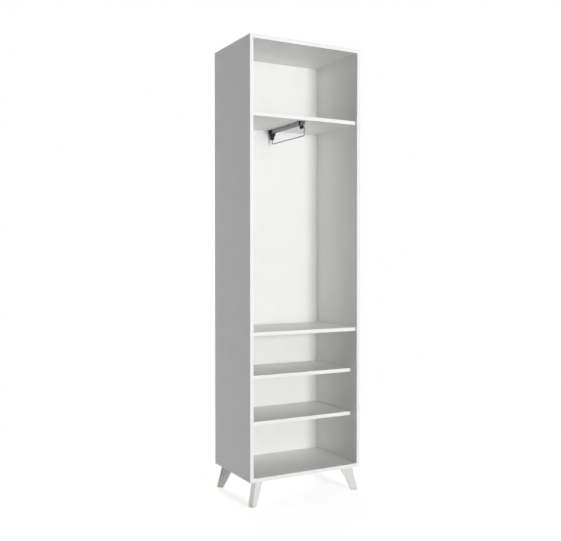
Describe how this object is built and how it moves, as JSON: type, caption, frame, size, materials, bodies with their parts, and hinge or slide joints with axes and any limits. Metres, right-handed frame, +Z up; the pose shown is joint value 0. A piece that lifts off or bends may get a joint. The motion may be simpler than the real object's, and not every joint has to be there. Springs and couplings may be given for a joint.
{
  "type": "open wardrobe unit",
  "caption": "Tall narrow open wardrobe unit on splayed wooden legs: hat shelf, hanging space with a pull-out hanging rail, fixed middle shelf and loose shelves on pins.",
  "frame": {"origin": "on the floor, under the middle of the carcass", "axes": "+Z up, the open front faces -Y, +X to the right seen from the front"},
  "size_m": [0.53, 0.346, 1.903],
  "materials": {
    "white_board": "white melamine-faced chipboard, satin",
    "white_back": "white-lacquered hardboard, satin",
    "white_band": "white edge band, satin",
    "white_plastic": "white cover caps",
    "pale_wood": "whitewashed solid wood, matt lacquer, visible grain",
    "dowel_wood": "plain beech",
    "zinc_steel": "bright zinc plating",
    "rail_steel": "zinc-plated rolled steel",
    "black_plastic": "black moulded plastic",
    "chromed_wire": "chrome-plated wire",
    "grey_plastic": "grey plastic glide"
  },
  "bodies": {
    "carcass": {"left_side_panel": "white_board", "right_side_panel": "white_board", "top_panel": "white_board", "bottom_panel": "white_board", "upper_shelf": "white_board", "middle_shelf": "white_board", "loose_shelf_upper": "white_board", "loose_shelf_lower": "white_board", "back_panel": "white_back", "left_side_edge_band": "white_band", "right_side_edge_band": "white_band", "top_panel_edge_bands": "white_band", "bottom_panel_edge_bands": "white_band", "upper_shelf_edge_band": "white_band", "middle_shelf_edge_band": "white_band", "loose_shelf_upper_edge_band": "white_band", "loose_shelf_lower_edge_band": "white_band", "top_screw_caps": "white_plastic", "leg_front_left": "pale_wood", "leg_front_right": "pale_wood", "leg_rear_left": "pale_wood", "leg_rear_right": "pale_wood", "top_dowels": "dowel_wood", "bottom_dowels": "dowel_wood", "upper_shelf_dowels": "dowel_wood", "middle_shelf_dowels": "dowel_wood", "leg_dowels": "dowel_wood", "top_panel_screws": "zinc_steel", "bottom_panel_screws": "zinc_steel", "upper_shelf_cams": "zinc_steel", "upper_shelf_cam_bolts": "zinc_steel", "middle_shelf_cams": "zinc_steel", "middle_shelf_cam_bolts": "zinc_steel", "leg_bolts": "zinc_steel", "leg_inserts": "zinc_steel", "rail_bracket_screws": "zinc_steel", "loose_shelf_upper_pins": "zinc_steel", "loose_shelf_lower_pins": "zinc_steel", "rail_channel": "rail_steel", "rail_front_bracket": "black_plastic", "rail_rear_bracket": "black_plastic", "foot_glides": "grey_plastic"},
    "hanging_rail": {"rail_slide_bar": "rail_steel", "rail_front_carrier": "black_plastic", "rail_rear_carrier": "black_plastic", "rail_carrier_screws": "zinc_steel", "hanger_rod": "chromed_wire"},
    "ball_cage": {"rail_ball_cage": "rail_steel", "rail_balls": "rail_steel"}
  },
  "joints": [
    {"name": "rail_slide", "type": "slide", "parent": "carcass", "child": "hanging_rail", "axis": [0, -1, 0], "range_m": [0, 0.18]},
    {"name": "ball_cage_slide", "type": "slide", "parent": "carcass", "child": "ball_cage", "axis": [0, -1, 0], "range_m": [0, 0.09]}
  ],
  "couplings": [
    {"joint": "ball_cage_slide", "follows": "rail_slide", "ratio": 0.5}
  ]
}
